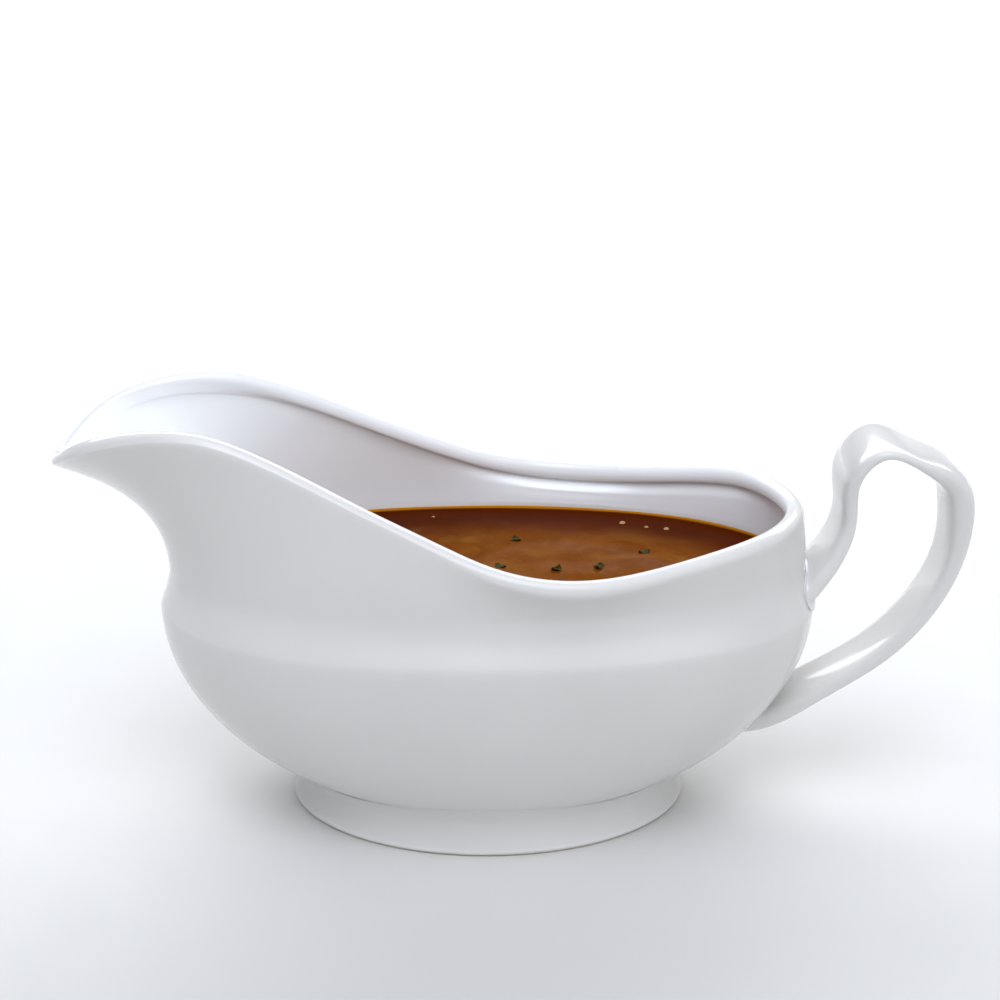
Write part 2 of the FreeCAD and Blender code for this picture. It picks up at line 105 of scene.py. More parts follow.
class Spline:
    """Smooth curve through points, each at its own parameter."""

    def __init__(self, places, points):
        self.places, self.points = np.asarray(places, float), np.asarray(points, float)
        count, gap = len(places), np.diff(self.places)
        matrix, side = np.eye(count), np.zeros_like(self.points)
        for k in range(1, count - 1):
            matrix[k, k - 1:k + 2] = gap[k - 1], 2 * (gap[k - 1] + gap[k]), gap[k]
            rise, fall = self.points[k + 1] - self.points[k], self.points[k] - self.points[k - 1]
            side[k] = 6 * (rise / gap[k] - fall / gap[k - 1])
        self.bend = np.linalg.solve(matrix, side)

    def value(self, place):
        place = np.asarray(place, float)
        k = np.clip(np.searchsorted(self.places, place) - 1, 0, len(self.places) - 2)
        gap = (self.places[k + 1] - self.places[k])[..., None]
        a = self.places[k + 1][..., None] - place[..., None]
        b = place[..., None] - self.places[k][..., None]
        curve = (self.bend[k] * a ** 3 + self.bend[k + 1] * b ** 3) / (6 * gap)
        curve += (self.points[k] / gap - self.bend[k] * gap / 6) * a
        return curve + (self.points[k + 1] / gap - self.bend[k + 1] * gap / 6) * b

    def tangent(self, place):
        nudge = 1e-4
        return unit(self.value(np.asarray(place) + nudge) - self.value(np.asarray(place) - nudge))


def basis(knots, places):
    """Cubic B-spline basis: one row per place, one column per pole."""
    places = np.clip(places, knots[3], knots[-4] - 1e-9)
    table = ((knots[:-1] <= places[:, None]) & (places[:, None] < knots[1:])).astype(float)
    for degree in (1, 2, 3):
        rise = knots[degree:-1] - knots[:-degree - 1]
        fall = knots[degree + 1:] - knots[1:-degree]
        left = np.divide(places[:, None] - knots[:-degree - 1], rise, where=rise > 0,
                         out=np.zeros((len(places), len(rise))))
        right = np.divide(knots[degree + 1:] - places[:, None], fall, where=fall > 0,
                          out=np.zeros((len(places), len(fall))))
        table = left * table[:, :-1] + right * table[:, 1:]
    return table


class Skin:
    """Smooth surface through rings of points: closed round the rings, open from ring to ring."""

    def __init__(self, rings):
        grid = np.asarray(rings, float)
        grid = grid - (np.roll(grid, 1, 1) - 2 * grid + np.roll(grid, -1, 1)) / 6
        poles = grid.copy()
        poles[1:-1] -= (grid[:-2] - 2 * grid[1:-1] + grid[2:]) / 6
        self.poles = np.concatenate([poles, poles[:, :3]], 1)
        self.around = grid.shape[1]
        self.spans = len(grid) - 3
        self.knots = np.r_[[0.0] * 3, np.arange(self.spans + 1), [self.spans] * 3]

    def columns(self, count):
        """Poles of the lines that run from ring to ring, one line per mesh column."""
        places = np.arange(count) * self.around / count
        table = basis(np.arange(-3.0, self.around + 4), places)
        return np.einsum("cp,rpx->crx", table, self.poles)

    def grid(self, count, rows):
        """Points of the surface, row by row."""
        table = basis(self.knots, np.linspace(0, self.spans, rows))
        return np.einsum("rp,cpx->rcx", table, self.columns(count))


def oval(half_length, half_width, height, angle, fullness=0.0):
    """Points of a level oval; angle 0 faces the spout."""
    along = -half_length * np.cos(angle) * (1 + fullness * np.sin(angle) ** 2)
    across = half_width * np.sin(angle) * (1 + fullness * np.cos(angle) ** 2)
    return np.stack([along, across, np.full_like(along, height)], -1)


# ---------------------------------------------------------------- the bowl's shape

class BowlShape:
    """Points of the bowl for an array of directions.

    Stations on the outside run 0 to 1 from the foot to the ridge, 1 to 2 over the shoulder to
    the neck, and 2 to 3 up the flared wall to the lip.
    """

    LOWER_SWELL = ((0.47, 0.12), (1.0, 0.53))      # shares across and up of the lower bowl's curve
    SHOULDER_PULL = (3.0, 5.0)                     # how upright the shoulder leaves ridge and neck
    FLARE_RISE = (0.4, 0.7)                        # how high the wall stays upright: waist, spout
    FLARE_RUN = 27.0                               # overhang that counts as full spout
    TIP_ZONE = (-103.0, -90.0)                     # X where the lip grows from the tip's radius
    RECESS_ZONE = (-70.0, -45.0)                   # X where the lip's inner step fades in
    BEAD = ((0.0, 0.35), (0.1, 0.65), (0.55, 0.85), (1.0, 1.1))    # inner step: recess, drop
    LIP_BAND = 4.2                                 # wall covered by the lip
    LIP_STEPS = 6
    LOWER_STEPS, UPPER_STEPS, FLOOR_STEPS = 8, 5, 3
    WALL_END = 0.25                                # station where the inside leaves the wall
    FLOOR_PULL = 0.7                               # how far out the floor's curve reaches
    MIRRORED = 4

    def __init__(self):
        rim, mirrored = np.array(RIM), self.MIRRORED
        flip = np.array([1, -1, 1])
        points = np.concatenate([rim[mirrored:0:-1] * flip, rim, rim[-2:-2 - mirrored:-1] * flip])
        places = np.arctan2(points[:, 1] / NECK["half_width"], -points[:, 0] / NECK["half_length"])
        places[-mirrored:] += 2 * math.pi
        self.rim = Spline(places, points)

    def crest(self, angle):
        """Top of the lip."""
        return self.rim.value(np.abs(angle)) * np.stack([np.ones_like(angle), np.sign(angle + 1e-12),
                                                         np.ones_like(angle)], -1)

    def outward(self, angle):
        """Level direction square to the rim."""
        along = self.rim.tangent(np.abs(angle))
        side = np.sign(angle + 1e-12)
        return unit(np.stack([-along[:, 1], along[:, 0] * side, np.zeros_like(side)], -1))

    def foot(self, angle):
        return oval(FOOT["half_length"], FOOT["half_width"], FOOT["height"], angle)

    def ridge(self, angle):
        return oval(angle=angle, fullness=FULLNESS, **RIDGE)

    def neck(self, angle):
        return oval(angle=angle, fullness=FULLNESS, **NECK)

    def lip_radius(self, angle):
        grown = smooth_step(self.crest(angle)[:, 0], *self.TIP_ZONE)
        return TIP_RADIUS + (LIP_RADIUS - TIP_RADIUS) * grown

    def flare(self, angle):
        """Upper wall: its lower end, its bend, its upper end on the lip, and its slope there."""
        neck, outward = self.neck(angle), self.outward(angle)
        radius = self.lip_radius(angle)[:, None]
        centre = self.crest(angle) - UP * radius
        run = np.linalg.norm((centre - neck)[:, :2], axis=1)[:, None]
        low, high = self.FLARE_RISE
        share = low + (high - low) * np.minimum(1, run / self.FLARE_RUN)
        bend = neck + UP * (centre - neck)[:, 2:] * share
        out = ((centre - bend) * outward).sum(1)
        up = (centre - bend)[:, 2]
        slope = np.arctan2(up, out) - np.arcsin(radius[:, 0] / np.hypot(out, up))
        edge = centre + (outward * np.sin(slope)[:, None] - UP * np.cos(slope)[:, None]) * radius
        return neck, bend, edge, slope

    def outside(self, angle, station):
        station = np.broadcast_to(station, angle.shape)
        foot, ridge = self.foot(angle), self.ridge(angle)
        neck, bend, edge = self.flare(angle)[:3]
        swell = [foot + (ridge - foot) * np.array([across, across, up])
                 for across, up in self.LOWER_SWELL]
        low_pull, high_pull = self.SHOULDER_PULL
        shoulder = [ridge, ridge + UP * low_pull, neck - UP * high_pull, neck]
        lower = bezier([foot, *swell, ridge], np.clip(station, 0, 1))
        middle = bezier(shoulder, np.clip(station - 1, 0, 1))
        upper = bezier([neck, bend, edge], np.clip(station - 2, 0, 1))
        band = np.floor(station)[:, None]
        return np.where(band < 1, lower, np.where(band < 2, middle, upper))

    def beneath(self, angle, station, depth):
        """Outside points moved square to the surface by depth into the wall."""
        nudge = 0.002
        around = self.outside(angle + nudge, station) - self.outside(angle - nudge, station)
        up = self.outside(angle, station + nudge) - self.outside(angle, station - nudge)
        return self.outside(angle, station) + unit(np.cross(around, up)) * depth

    def wall_top(self, angle):
        """Station where the inside wall meets the lip."""
        neck, bend, edge = self.flare(angle)[:3]
        length = np.linalg.norm(bend - neck, axis=1) + np.linalg.norm(edge - bend, axis=1)
        return 3 - self.LIP_BAND / length

    def lip(self, angle):
        """Points over the rolled lip, from the outside wall to the top of the inside wall."""
        slope, outward = self.flare(angle)[3], self.outward(angle)
        radius = self.lip_radius(angle)[:, None]
        centre = self.crest(angle) - UP * radius
        crispness = smooth_step(centre[:, 0], *self.RECESS_ZONE)
        soft_end = slope + math.pi / 2
        start, end = slope - math.pi / 2, soft_end + (math.pi - soft_end) * crispness
        points = []
        for k in range(self.LIP_STEPS + 1):
            turn = (start + (end - start) * k / self.LIP_STEPS)[:, None]
            points.append(centre + (outward * np.cos(turn) + UP * np.sin(turn)) * radius)
        last, top = points[-1], self.beneath(angle, self.wall_top(angle), WALL)
        for k, (recess, drop) in enumerate(self.BEAD, 1):
            crisp = centre - outward * (radius - recess * LIP_RECESS) - UP * drop * radius
            soft = last + (top - last) * k / (len(self.BEAD) + 1)
            points.append(soft + (crisp - soft) * crispness[:, None])
        return points + [top]

    def lining(self, angle):
        """Rings of the inside, from under the lip down to the edge of the floor."""
        rings = []
        runs = [(self.wall_top(angle), 2, self.UPPER_STEPS), (2, 1, self.UPPER_STEPS),
                (1, self.WALL_END, self.LOWER_STEPS - 2)]
        for start, end, steps in runs:
            for k in range(1, steps + 1):
                rings.append(self.beneath(angle, start + (end - start) * k / steps, WALL))
        level = oval(height=FOOT["height"] + WALL, angle=angle, **FLOOR)
        corner = level + (rings[-1] - level) * np.array([1, 1, 0]) * self.FLOOR_PULL
        curve = [rings[-1], corner, level]
        return rings + [bezier(curve, k / self.FLOOR_STEPS) for k in range(1, self.FLOOR_STEPS + 1)]

    def rings(self, angle):
        """The whole wall: up the outside, over the lip, down to the floor."""
        stations = [k / self.LOWER_STEPS for k in range(self.LOWER_STEPS)]
        stations += [1 + k / self.UPPER_STEPS for k in range(2 * self.UPPER_STEPS)]
        up_outside = [self.outside(angle, station) for station in stations]
        return up_outside + self.lip(angle) + self.lining(angle)


# ---------------------------------------------------------------- meshes

def band_faces(rows, columns, first=0, wrap_rows=False):
    """Quads between neighbouring rows of a grid that is closed along each row."""
    row = np.arange(rows if wrap_rows else rows - 1)[:, None] * columns
    above = (row + columns) % (rows * columns)
    here, after = np.arange(columns), (np.arange(columns) + 1) % columns
    quads = np.stack([row + here, row + after, above + after, above + here], -1)
    return (quads.reshape(-1, 4) + first).tolist()


def add_mesh(name, points, faces, material, slot, nodes):
    """A smooth shaded piece that rides on the boat and stands for CAD nodes."""
    mesh = bpy.data.meshes.new(name)
    mesh.from_pydata((np.asarray(points).reshape(-1, 3) * MM).tolist(), [], faces)
    shape = bmesh.new()
    shape.from_mesh(mesh)
    bmesh.ops.remove_doubles(shape, verts=shape.verts, dist=1e-7)
    bmesh.ops.recalc_face_normals(shape, faces=shape.faces)
    shape.to_mesh(mesh)
    shape.free()
    mesh.shade_smooth()
    mesh.set_sharp_from_angle(angle=SHARP_CORNER)
    mesh.materials.append(material)
    mark_hollows(mesh)
    piece = bpy.data.objects.new(name, mesh)
    bpy.context.scene.collection.objects.link(piece)
    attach(piece, "root")
    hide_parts(*nodes)
    return piece


def mark_hollows(mesh, passes=12):
    """Stores on each vertex how hollow the surface is there, -1 on a sharp edge to 1 in a corner."""
    count = len(mesh.vertices)
    points, normals = np.empty(count * 3), np.empty(count * 3)
    mesh.vertices.foreach_get("co", points)
    mesh.vertices.foreach_get("normal", normals)
    points, normals = points.reshape(-1, 3), normals.reshape(-1, 3)
    ends = np.empty(len(mesh.edges) * 2, int)
    mesh.edges.foreach_get("vertices", ends)
    start, end = ends.reshape(-1, 2).T
    share = 1 / np.maximum(np.bincount(ends, minlength=count), 1)
    way = points[end] - points[start]
    length = np.linalg.norm(way, axis=1)
    rise_start = (way * normals[start]).sum(1) / length ** 2
    rise_end = -(way * normals[end]).sum(1) / length ** 2
    bend = np.bincount(start, rise_start, count) + np.bincount(end, rise_end, count)
    bend *= 2 * share
    for _ in range(passes):
        near = np.bincount(start, bend[end], count) + np.bincount(end, bend[start], count)
        bend = (bend + near * share) / 2
    store(mesh, "hollow", np.tanh(bend * SHARPEST_RADIUS))


def store(mesh, name, values):
    """Keeps one number per vertex for the material to read."""
    layer = mesh.attributes.new(name, "FLOAT", "POINT")
    layer.data.foreach_set("value", np.asarray(values, float))


def closed_tube(rows, shares):
    """Points and faces of a grid closed along its rows, each end filled with ever smaller rings."""
    rows = [np.asarray(row) for row in rows]
    low, high = rows[0].mean(0), rows[-1].mean(0)
    rows = [low + (rows[0] - low) * share for share in reversed(shares)] + rows
    rows += [high + (rows[-1] - high) * share for share in shares]
    columns = len(rows[0])
    faces = band_faces(len(rows), columns)
    last = (len(rows) - 1) * columns
    points = np.concatenate(rows + [[low], [high]])
    for k in range(columns):
        after = (k + 1) % columns
        faces.append([len(points) - 2, after, k])
        faces.append([len(points) - 1, last + k, last + after])
    return points, faces


def undulate(points, amount, seed, waves=9, length=(22.0, 60.0)):
    """The faint unevenness that hand-finished, fired clay has: a sum of slow waves, in mm."""
    random = np.random.default_rng(seed)
    rise = np.zeros(points.shape[:-1])
    for _ in range(waves):
        direction = unit(random.normal(size=3))
        turns = points @ direction * 2 * math.pi / random.uniform(*length)
        rise += np.sin(turns + random.uniform(0, 6.28))
    return rise * amount / math.sqrt(waves)


def surface_of(points, faces):
    """A surface that can be hit and measured, in mm."""
    return BVHTree.FromPolygons([Vector(p) for p in points.reshape(-1, 3)], faces)


CAP_SHARES = (0.75, 0.5, 0.25, 0.08)
LIP_ROWS = 8               # mesh rows over which the painted shade of the outside gives way to the painted light of the inside
UNEVENNESS = 0.05          # how far the fired clay strays from its true shape
UNEVEN_ABOVE = (13.0, 22.0)


def build_bowl(shape, material):
    """The bowl, up the outside, over the lip and down to the inner floor; gives its surface."""
    angle = np.arange(DIRECTIONS) * 2 * math.pi / DIRECTIONS - math.pi
    skin = Skin(shape.rings(angle))
    grid = skin.grid(DIRECTIONS * FINE_AROUND, skin.spans * FINE_ALONG + 1)
    around, along = np.roll(grid, -1, 1) - np.roll(grid, 1, 1), np.gradient(grid, axis=0)
    clear_of_foot = smooth_step(grid[..., 2], *UNEVEN_ABOVE)
    rise = undulate(grid, UNEVENNESS, seed=4) * clear_of_foot
    grid += unit(np.cross(around, along)) * rise[..., None]
    points, faces = closed_tube(grid, CAP_SHARES)
    piece = add_mesh("bowl_glazed", points, faces, material, "porcelain", ["bowl"])
    # where the painted shade of the outside gives way to the painted light of the inside
    past_lip = np.arange(len(grid))[:, None] - grid[..., 2].argmax(0)
    inside = smooth_step(past_lip, 0, LIP_ROWS)
    cap = np.zeros(len(CAP_SHARES) * grid.shape[1])
    store(piece.data, "inside", np.concatenate([cap, inside.ravel(), cap + 1, [0, 1]]))
    return surface_of(grid, band_faces(*grid.shape[:2]))


def arc(start, end, radius, hollow, steps):
    """Points of an arc between two places of a flat outline, without the first."""
    start, end = np.array(start, float), np.array(end, float)
    chord = end - start
    length = np.linalg.norm(chord)
    side = np.array([chord[1], -chord[0]]) / length * (-1 if hollow else 1)
    middle = (start + end) / 2 + side * math.sqrt(radius ** 2 - length ** 2 / 4)
    first, last = (math.atan2(*(place - middle)[::-1]) for place in (start, end))
    turn = (last - first + math.pi) % (2 * math.pi) - math.pi
    angles = [first + turn * k / steps for k in range(1, steps + 1)]
    return [middle + radius * np.array([math.cos(angle), math.sin(angle)]) for angle in angles]


FOOT_FILLET = 2.2          # how far the glaze rounds off the corner between foot and bowl
FOOT_SINK = 0.6            # how far the foot's top reaches into the bowl
FOOT_COLUMNS = 256
HOLLOW_STEPS, ROUNDING_STEPS, LEAN_STEPS, FILLET_STEPS = 24, 8, 6, 8


def build_foot(shape, material):
    """The foot ring: hollow outside, rounded lower edge, and a soft corner under the bowl."""
    outer = FOOT["splay"]
    inner = outer - FOOT["thickness"]
    rounding, height = FOOT["rounding"], FOOT["height"]
    side = arc((0, height), (outer, rounding), FOOT["hollow_radius"], True, HOLLOW_STEPS)
    side = [place for place in side if height - place[1] >= FOOT_FILLET]
    profile = side + arc((outer, rounding), (outer - rounding, 0), rounding, False, ROUNDING_STEPS)
    profile += [np.array([inner + rounding, 0.0])]
    profile += arc((inner + rounding, 0), (inner, rounding), rounding, False, ROUNDING_STEPS)
    for k in range(1, LEAN_STEPS + 1):
        share = k / LEAN_STEPS
        profile.append(np.array([inner - FOOT["lean"] * share, rounding + (height - rounding) * share]))
    profile.append(np.array([inner - FOOT["lean"], height + FOOT_SINK]))
    profile.append(np.array([-FOOT_SINK, height + FOOT_SINK]))

    angle = np.arange(FOOT_COLUMNS) * 2 * math.pi / FOOT_COLUMNS - math.pi
    path = shape.foot(angle)
    normal = unit(np.stack([-np.cos(angle) / FOOT["half_length"], np.sin(angle) / FOOT["half_width"],
                            np.zeros_like(angle)], -1))
    rows = [path * [1, 1, 0] + normal * out + UP * up for out, up in profile]
    step = 1e-3
    rise = np.linalg.norm(shape.outside(angle, step) - path, axis=1) / step
    on_bowl = shape.outside(angle, FOOT_FILLET / rise)
    fillet = [bezier([on_bowl, path, rows[0]], k / FILLET_STEPS) for k in range(FILLET_STEPS)]
    rows = fillet + rows
    faces = band_faces(len(rows), len(angle), wrap_rows=True)
    add_mesh("foot_ring_glazed", np.array(rows), faces, material, "porcelain", ["foot_ring"])


# ---------------------------------------------------------------- the handle

class StrapShape:
    """The handle's strap: a flattened section carried along a curve in the boat's middle plane."""

    SECTION_POINTS, STEPS = 24, 44

    def __init__(self):
        stations = np.array(STRAP)
        middle = np.stack([stations[:, 0], np.zeros(len(stations)), stations[:, 1]], -1)
        places = np.r_[0, np.cumsum(np.linalg.norm(np.diff(middle, axis=0), axis=1))]
        self.middle = Spline(places, middle)
        self.girth = Spline(places, stations[:, 2:] * [1, 0.5])
        self.length = places[-1]

    def rings(self):
        turn = 2 * math.pi * np.arange(self.SECTION_POINTS) / self.SECTION_POINTS
        rings = []
        for place in np.linspace(0, self.length, self.STEPS + 1):
            centre, along = self.middle.value(place), self.middle.tangent(place)
            half_width, half_thickness = self.girth.value(place)
            flat = oval(half_width, half_thickness, 0, turn, STRAP_FULLNESS)
            out = np.array([-along[2], 0, along[0]])
            rings.append(centre + flat[:, :1] * [0, 1, 0] + flat[:, 1:2] * out)
        return rings


STRAP_COLUMNS = 96
STRAP_ROWS = 220
ROOT_SINK = 1.2            # how far the roots reach into the wall
SLIP_SPREAD = {"upper": (2.4, 1.5), "lower": (3.0, 2.6)}     # slip up the strap, and over the bowl
SLIP_STEPS = 14
SLIP_SINK = 0.5            # how far the slip's hidden side lies under both surfaces
SLIP_TUCK = 0.04           # how far its thin edges lie under them, to soften their rim
SEARCH_PLACES = 400        # places along the strap at which its way into the bowl is looked for
SEARCH_SPANS, SEARCH_STEPS = 6, 240        # how far, and how finely, a distance is measured off


def find_roots(line, knots, surface):
    """Where one lengthwise line of the strap enters the bowl: its upper and its lower place."""
    places = np.linspace(0, knots[-1], SEARCH_PLACES)
    middle = SEARCH_PLACES // 2
    points = basis(knots, places) @ line
    roots = []
    for order in (range(middle, 0, -1), range(middle, SEARCH_PLACES - 1)):
        for k in order:
            after = k + (1 if order.step > 0 else -1)
            way = Vector(points[after] - points[k])
            hit, normal, _, distance = surface.ray_cast(Vector(points[k]), way.normalized(), way.length)
            if hit is not None:
                share = distance / way.length
                place = places[k] + (places[after] - places[k]) * share
                roots.append((place, np.array(hit), np.array(normal)))
                break
    return roots


def place_along(line, knots, start, distance, way):
    """Place on a lengthwise line at a distance along it from a start, towards the middle."""
    places = start + way * np.linspace(0, SEARCH_SPANS, SEARCH_STEPS)
    points = basis(knots, places) @ line
    run = np.r_[0, np.cumsum(np.linalg.norm(np.diff(points, axis=0), axis=1))]
    return float(np.interp(distance, run, places))


def slip_joint(name, lines, knots, roots, surface, spread, way, material):
    """Soft hollow corner of clay slip between the strap and the bowl, closed behind."""
    places = np.array([root[0] for root in roots])
    corner = np.array([root[1] for root in roots])
    normal = np.array([root[2] for root in roots])
    round_root = unit(np.roll(corner, -1, 0) - np.roll(corner, 1, 0))
    over = unit(np.cross(normal, round_root))
    over *= np.sign((over * (corner - corner.mean(0))).sum(1, keepdims=True))
    up_strap, over_bowl = spread
    on_strap, on_bowl, bowl_normal = [], [], []
    for k, line in enumerate(lines):
        there = place_along(line, knots, places[k], up_strap, way)
        on_strap.append((basis(knots, np.array([there])) @ line)[0])
        hit = surface.find_nearest(Vector(corner[k] + over[k] * over_bowl))
        on_bowl.append(hit[0])
        bowl_normal.append(hit[1])
    on_strap, on_bowl, bowl_normal = np.array(on_strap), np.array(on_bowl), np.array(bowl_normal)
    inwards = unit(on_strap.mean(0) - on_strap)
    ends = [on_strap + inwards * SLIP_TUCK, corner, on_bowl - bowl_normal * SLIP_TUCK]
    rows = [bezier(ends, k / SLIP_STEPS) for k in range(SLIP_STEPS + 1)]
    rows += [on_bowl - bowl_normal * SLIP_SINK, corner - normal * SLIP_SINK + inwards * SLIP_SINK,
             on_strap + inwards * SLIP_SINK]
    faces = band_faces(len(rows), len(lines), wrap_rows=True)
    add_mesh(name + "_slip_glazed", np.array(rows), faces, material, "porcelain", [name + "_slip_joint"])


def build_handle(surface, material):
    """The strap down to the bowl's surface, with a joint of slip round each root."""
    skin = Skin(StrapShape().rings())
    lines, knots = skin.columns(STRAP_COLUMNS), skin.knots
    roots = [find_roots(line, knots, surface) for line in lines]
    start = [place_along(line, knots, upper[0], ROOT_SINK, -1) for line, (upper, _) in zip(lines, roots)]
    end = [place_along(line, knots, lower[0], ROOT_SINK, 1) for line, (_, lower) in zip(lines, roots)]
    share = np.linspace(0, 1, STRAP_ROWS + 1)
    columns = [basis(knots, low + (high - low) * share) @ line
               for line, low, high in zip(lines, start, end)]
    points, faces = closed_tube(np.swapaxes(np.array(columns), 0, 1), shares=(0.7, 0.35))
    add_mesh("handle_glazed", points, faces, material, "porcelain", ["handle"])
    for number, (name, way) in enumerate((("upper", 1), ("lower", -1))):
        ends = [pair[number] for pair in roots]
        slip_joint(name, lines, knots, ends, surface, SLIP_SPREAD[name], way, material)


# ---------------------------------------------------------------- the gravy and what floats on it

GRAVY_COLUMNS = 288
GRAVY_OVERLAP = 1.003      # its body's width over that of the bowl's inside, so that no gap shows
# how far from the wall each of the gravy's outer rows lies
EDGE_STEPS = (0.0, 0.12, 0.25, 0.4, 0.6, 0.85, 1.2, 1.6, 2.1, 2.8, 3.7, 5.0, 6.6, 8.5)
INNER_ROWS = 40
WALL_ROWS, WALL_FINENESS = 22, 6
FLOOR_GAP = 0.5            # how far over the bowl's floor the gravy's body ends
SWIRL_HEIGHT, SWIRL_LENGTH = 0.10, (9.0, 34.0)
CALM_REACH = 3.0           # how near the wall the swirls die out
CLIMB, CLIMB_REACH = 1.2, 1.3      # how high gravy climbs the wall, and how far out that fades
SAME_SOLID = 2.9           # points nearer than this belong to one fleck or bead
LEAF_STEPS, LEAF_SECTION = 14, 16
BLUNT_END = 0.02           # keeps a scrap's ends from coming to a point
LEAF_THICKNESS = 0.16
LEAF_LIFT = 0.12           # how high a scrap's middle floats over the gravy's level
BEAD_COLUMNS = 32

# outline of a bead from under the gravy to its top, as shares of its radius: out, up
FAT_OUTLINE = [(0.3, -0.5), (0.62, -0.42), (0.84, -0.3), (0.96, -0.15), (1.0, 0.0), (0.99, 0.1),
               (0.94, 0.24), (0.84, 0.37), (0.7, 0.48), (0.52, 0.56), (0.34, 0.61), (0.16, 0.635)]


def lining_lines(shape):
    """Lines down the bowl's inner wall, from the floor up, one per column of the gravy's mesh."""
    angle = np.arange(DIRECTIONS) * 2 * math.pi / DIRECTIONS - math.pi
    skin = Skin(shape.lining(angle))
    return np.swapaxes(skin.grid(GRAVY_COLUMNS, skin.spans * WALL_FINENESS + 1), 0, 1)[:, ::-1]


def wall_at(lines, height):
    """Ring of the inner wall at a height, a little way into the glaze."""
    ring = [[np.interp(height, line[:, 2], line[:, k]) for k in range(3)] for line in lines]
    return np.array(ring) * [GRAVY_OVERLAP, GRAVY_OVERLAP, 1]


def gravy_height(points, edge):
    """How high the gravy stands over its level: it climbs the wall, and lies in slow swirls."""
    swirls = undulate(points, SWIRL_HEIGHT, seed=11, waves=14, length=SWIRL_LENGTH)
    calm = 1 - np.exp(-edge / CALM_REACH)
    return CLIMB * np.exp(-edge / CLIMB_REACH) + swirls * calm


def build_gravy(shape, material):
    """The gravy: a closed body down to the bowl's floor, with a thin raised edge along the wall."""
    lines = lining_lines(shape)
    edge = wall_at(lines, GRAVY_LEVEL)
    centre = edge.mean(0)
    reach = np.linalg.norm(edge - centre, axis=1)
    inner = 1 - np.linspace(0, 1, INNER_ROWS + 1)[1:-1]
    rows, gaps = [], []
    for step in EDGE_STEPS:
        rows.append(edge + (centre - edge) * (step / reach)[:, None])
        gaps.append(np.full(len(edge), step))
    last = rows[-1]
    for share in inner:
        rows.append(centre + (last - centre) * share)
        gaps.append(np.linalg.norm(rows[-1] - edge, axis=1))
    rows, gaps = rows[::-1], np.array(gaps[::-1])
    top = np.array(rows)
    top[..., 2] = GRAVY_LEVEL + gravy_height(top * [1, 1, 0], gaps)
    floor_level = FOOT["height"] + WALL
    depths = np.linspace(GRAVY_LEVEL, floor_level + FLOOR_GAP, WALL_ROWS)[1:]
    walls = np.array([wall_at(lines, depth) for depth in depths])
    points, faces = closed_tube(np.concatenate([top, walls]), shares=(0.6, 0.3))
    piece = add_mesh("gravy_pool", points, faces, material, "gravy", ["gravy"])
    mark_edge(piece.data, edge)


def mark_edge(mesh, edge):
    """Stores on each vertex how far it is from the wall, in millimetres."""
    points = np.array([vertex.co for vertex in mesh.vertices]) / MM
    gaps = np.array([np.linalg.norm((edge - point)[:, :2], axis=1).min() for point in points])
    store(mesh, "from_wall", gaps)


def small_solids(node):
    """The separate little solids of a CAD node, each as its points in mm."""
    groups = []
    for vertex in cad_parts[node].data.vertices:
        point = np.array(vertex.co) / MM
        for group in groups:
            if np.linalg.norm(group[0] - point) < SAME_SOLID:
                group.append(point)
                break
        else:
            groups.append([point])
    return [np.array(group) for group in groups]


def leaf_bit(centre, along, half_length, half_width, random):
    """A torn, curled scrap of leaf lying on the gravy: its points and faces."""
    side = np.array([-along[1], along[0], 0])
    phases = random.uniform(0, 2 * math.pi, 5)
    curl, cup, twist = random.uniform(0.1, 0.35), random.uniform(-0.1, 0.25), random.uniform(-0.3, 0.3)
    rings = []
    for k in range(LEAF_STEPS + 1):
        u = -math.cos(math.pi * k / LEAF_STEPS)
        torn = 1 + 0.22 * math.sin(5 * u + phases[0]) + 0.12 * math.sin(11 * u + phases[1])
        width = half_width * math.sqrt(max(BLUNT_END, 1 - u * u)) * torn
        sway = 0.15 * half_width * math.sin(3 * u + phases[4])
        ring = []
        for turn in np.linspace(0, 2 * math.pi, LEAF_SECTION, endpoint=False):
            v, thick = math.cos(turn), math.sin(turn)
            ragged = 1 + 0.1 * math.sin(13 * u + phases[2]) * v
            crinkle = 0.05 * math.sin(7 * u + 4 * v + phases[3])
            rise = curl * u * u + cup * v * v + twist * u * v + crinkle
            place = centre + along * u * half_length + side * (v * width * ragged + sway)
            ring.append(place + UP * (rise * half_width + LEAF_THICKNESS / 2 * thick))
        rings.append(np.array(ring))
    return closed_tube(rings, shares=(0.4,))


def build_herbs(material):
    """Scraps of green herb, one on each of the CAD node's flecks."""
    random = np.random.default_rng(5)
    parts = []
    for solid in small_solids("herb_flecks"):
        centre = (solid.min(0) + solid.max(0)) / 2
        ways = solid[:, None] - solid[None]
        spans = np.linalg.norm(ways[..., :2], axis=-1)
        far = np.unravel_index(spans.argmax(), spans.shape)
        along = unit(ways[far] * [1, 1, 0])
        side = np.array([-along[1], along[0], 0])
        half_length, half_width = spans.max() / 2, np.abs((solid - centre) @ side).max()
        centre = centre * [1, 1, 0] + UP * (GRAVY_LEVEL + LEAF_LIFT)
        parts.append(leaf_bit(centre, along, half_length, half_width, random))
    add_mesh("herb_scraps", *joined(parts), material, "herb", ["herb_flecks"])


def joined(parts):
    """One set of points and faces out of several."""
    points, faces = [], []
    for some_points, some_faces in parts:
        faces += [[corner + len(points) for corner in face] for face in some_faces]
        points += list(some_points)
    return np.array(points), faces


